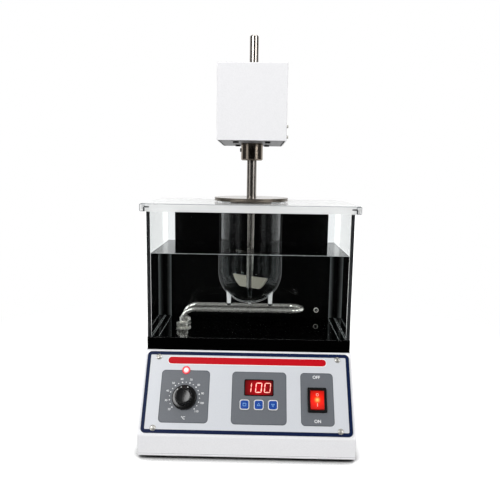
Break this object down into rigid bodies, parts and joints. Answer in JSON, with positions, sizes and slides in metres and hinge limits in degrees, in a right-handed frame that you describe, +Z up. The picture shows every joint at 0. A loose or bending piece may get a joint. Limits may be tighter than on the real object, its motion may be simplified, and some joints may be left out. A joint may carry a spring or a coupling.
{
  "type": "dissolution tester",
  "caption": "Bench dissolution tester: paddle drive head on a rear post over a clear heated water bath with a glass vessel, on a sloping control console.",
  "frame": {"origin": "on the bench plane, under the paddle's axis, at the middle foot's sole", "axes": "+X to the operator's right, +Y to the back, +Z up along the paddle's axis"},
  "size_m": [0.3332, 0.2964, 0.6606],
  "materials": {
    "white_paint": "satin powder coat",
    "fascia_print": "printed sheet with a dark border",
    "steel": "satin",
    "polished_steel": "polished",
    "satin_steel": "matte satin",
    "dark_steel": "dark satin",
    "black_paint": "satin",
    "grey_paint": "satin",
    "iron": "varnished laminations",
    "aluminium": "machined",
    "brass": "turned",
    "rubber": "matte",
    "black_gloss": "polished",
    "black_plastic": "fine grain",
    "clear_acrylic": "clear polished",
    "vessel_glass": "clear",
    "display_red": "tinted clear",
    "lamp_red": "polished",
    "lamp_lens": "translucent",
    "key_blue": "smooth",
    "rocker_red": "translucent",
    "lever_red": "smooth",
    "board_green": "solder mask"
  },
  "bodies": {
    "stand": {"base_shell": "white_paint", "base_plate": "white_paint", "plate_screws": "steel", "rubber_feet": "rubber", "fascia_plate": "fascia_print", "fascia_screws": "steel", "thermostat_body": "steel", "lamp_body": "lamp_red", "lamp_lens": "lamp_lens", "display_window": "display_red", "display_module": "black_plastic", "keypad_board": "board_green", "switch_frame": "black_plastic", "control_board": "board_green", "transformer": "iron", "power_inlet": "black_plastic", "fuse_holder": "black_plastic", "lead_gland": "black_plastic", "tank_base": "black_gloss", "tank_walls": "clear_acrylic", "tank_back_sheet": "black_gloss", "heater_tube": "steel", "heater_fittings": "polished_steel", "drain_fitting": "steel", "drain_valve": "brass", "post_foot": "steel", "post_foot_screws": "steel", "support_post": "polished_steel", "post_stop_ring": "steel"},
    "bath_lid": {"tank_lid": "clear_acrylic"},
    "glass_vessel": {"vessel": "vessel_glass", "vessel_foot_caps": "rubber"},
    "cover": {"vessel_cover": "polished_steel"},
    "drive_head": {"post_clamp": "black_paint", "clamp_screws": "steel", "head_cover": "white_paint", "head_cover_screws": "steel", "head_frame": "grey_paint", "head_frame_screws": "dark_steel", "bearing_block": "aluminium", "shaft_bearings": "steel", "motor": "black_paint", "drive_belt": "rubber", "speed_sensor": "black_plastic", "head_gland": "black_plastic"},
    "stirrer": {"drive_shaft": "dark_steel", "collar_screw": "dark_steel", "spindle": "polished_steel", "paddle": "satin_steel", "spindle_pulley": "aluminium", "speed_disc": "black_plastic"},
    "motor_rotor": {"motor_pulley": "aluminium"},
    "lock_knob": {"clamp_knob": "black_plastic"},
    "dial": {"temperature_knob": "black_gloss", "thermostat_shaft": "steel"},
    "set_button": {"set_key": "key_blue"},
    "up_button": {"up_key": "key_blue"},
    "down_button": {"down_key": "key_blue"},
    "mains_rocker": {"switch_rocker": "rocker_red"},
    "drain_tap": {"drain_lever": "lever_red"}
  },
  "joints": [
    {"name": "head_slide", "type": "slide", "parent": "stand", "child": "drive_head", "axis": [0, 0, 1], "range_m": [0, 0.11]},
    {"name": "lock_knob_turn", "type": "hinge", "parent": "drive_head", "child": "lock_knob", "pos_m": [0, 0.13, 0.5151], "axis": [0, -1, 0], "range_deg": [0, 360]},
    {"name": "stirrer_spin", "type": "hinge", "parent": "drive_head", "child": "stirrer", "pos_m": [0, 0, 0.45], "axis": [0, 0, 1], "continuous": true},
    {"name": "motor_spin", "type": "hinge", "parent": "drive_head", "child": "motor_rotor", "pos_m": [0, 0.047, 0.54], "axis": [0, 0, 1], "continuous": true},
    {"name": "lid_lift", "type": "slide", "parent": "stand", "child": "bath_lid", "axis": [0, 0, 1], "range_m": [0, 0.008]},
    {"name": "vessel_lift", "type": "slide", "parent": "bath_lid", "child": "glass_vessel", "axis": [0, 0, 1], "range_m": [0, 0.008]},
    {"name": "cover_lift", "type": "slide", "parent": "glass_vessel", "child": "cover", "axis": [0, 0, 1], "range_m": [0, 0.034]},
    {"name": "dial_turn", "type": "hinge", "parent": "stand", "child": "dial", "pos_m": [-0.0943, -0.12803, 0.08179], "axis": [0, 0.8417, -0.54], "range_deg": [-51, 219]},
    {"name": "rocker_tilt", "type": "hinge", "parent": "stand", "child": "mains_rocker", "pos_m": [0.1045, -0.12845, 0.08206], "axis": [-1, 0, 0], "range_deg": [0, 14]},
    {"name": "drain_tap_turn", "type": "hinge", "parent": "stand", "child": "drain_tap", "pos_m": [0.1183, 0.1048, 0.19], "axis": [0, 0, -1], "range_deg": [0, 90]},
    {"name": "set_press", "type": "slide", "parent": "stand", "child": "set_button", "axis": [0, 0.8417, -0.54], "range_m": [0, 0.001], "stiffness_N_per_m": 600, "springref_m": -0.0006},
    {"name": "up_press", "type": "slide", "parent": "stand", "child": "up_button", "axis": [0, 0.8417, -0.54], "range_m": [0, 0.001], "stiffness_N_per_m": 600, "springref_m": -0.0006},
    {"name": "down_press", "type": "slide", "parent": "stand", "child": "down_button", "axis": [0, 0.8417, -0.54], "range_m": [0, 0.001], "stiffness_N_per_m": 600, "springref_m": -0.0006}
  ],
  "couplings": [
    {"joint": "motor_spin", "follows": "stirrer_spin", "ratio": 1.7647}
  ]
}
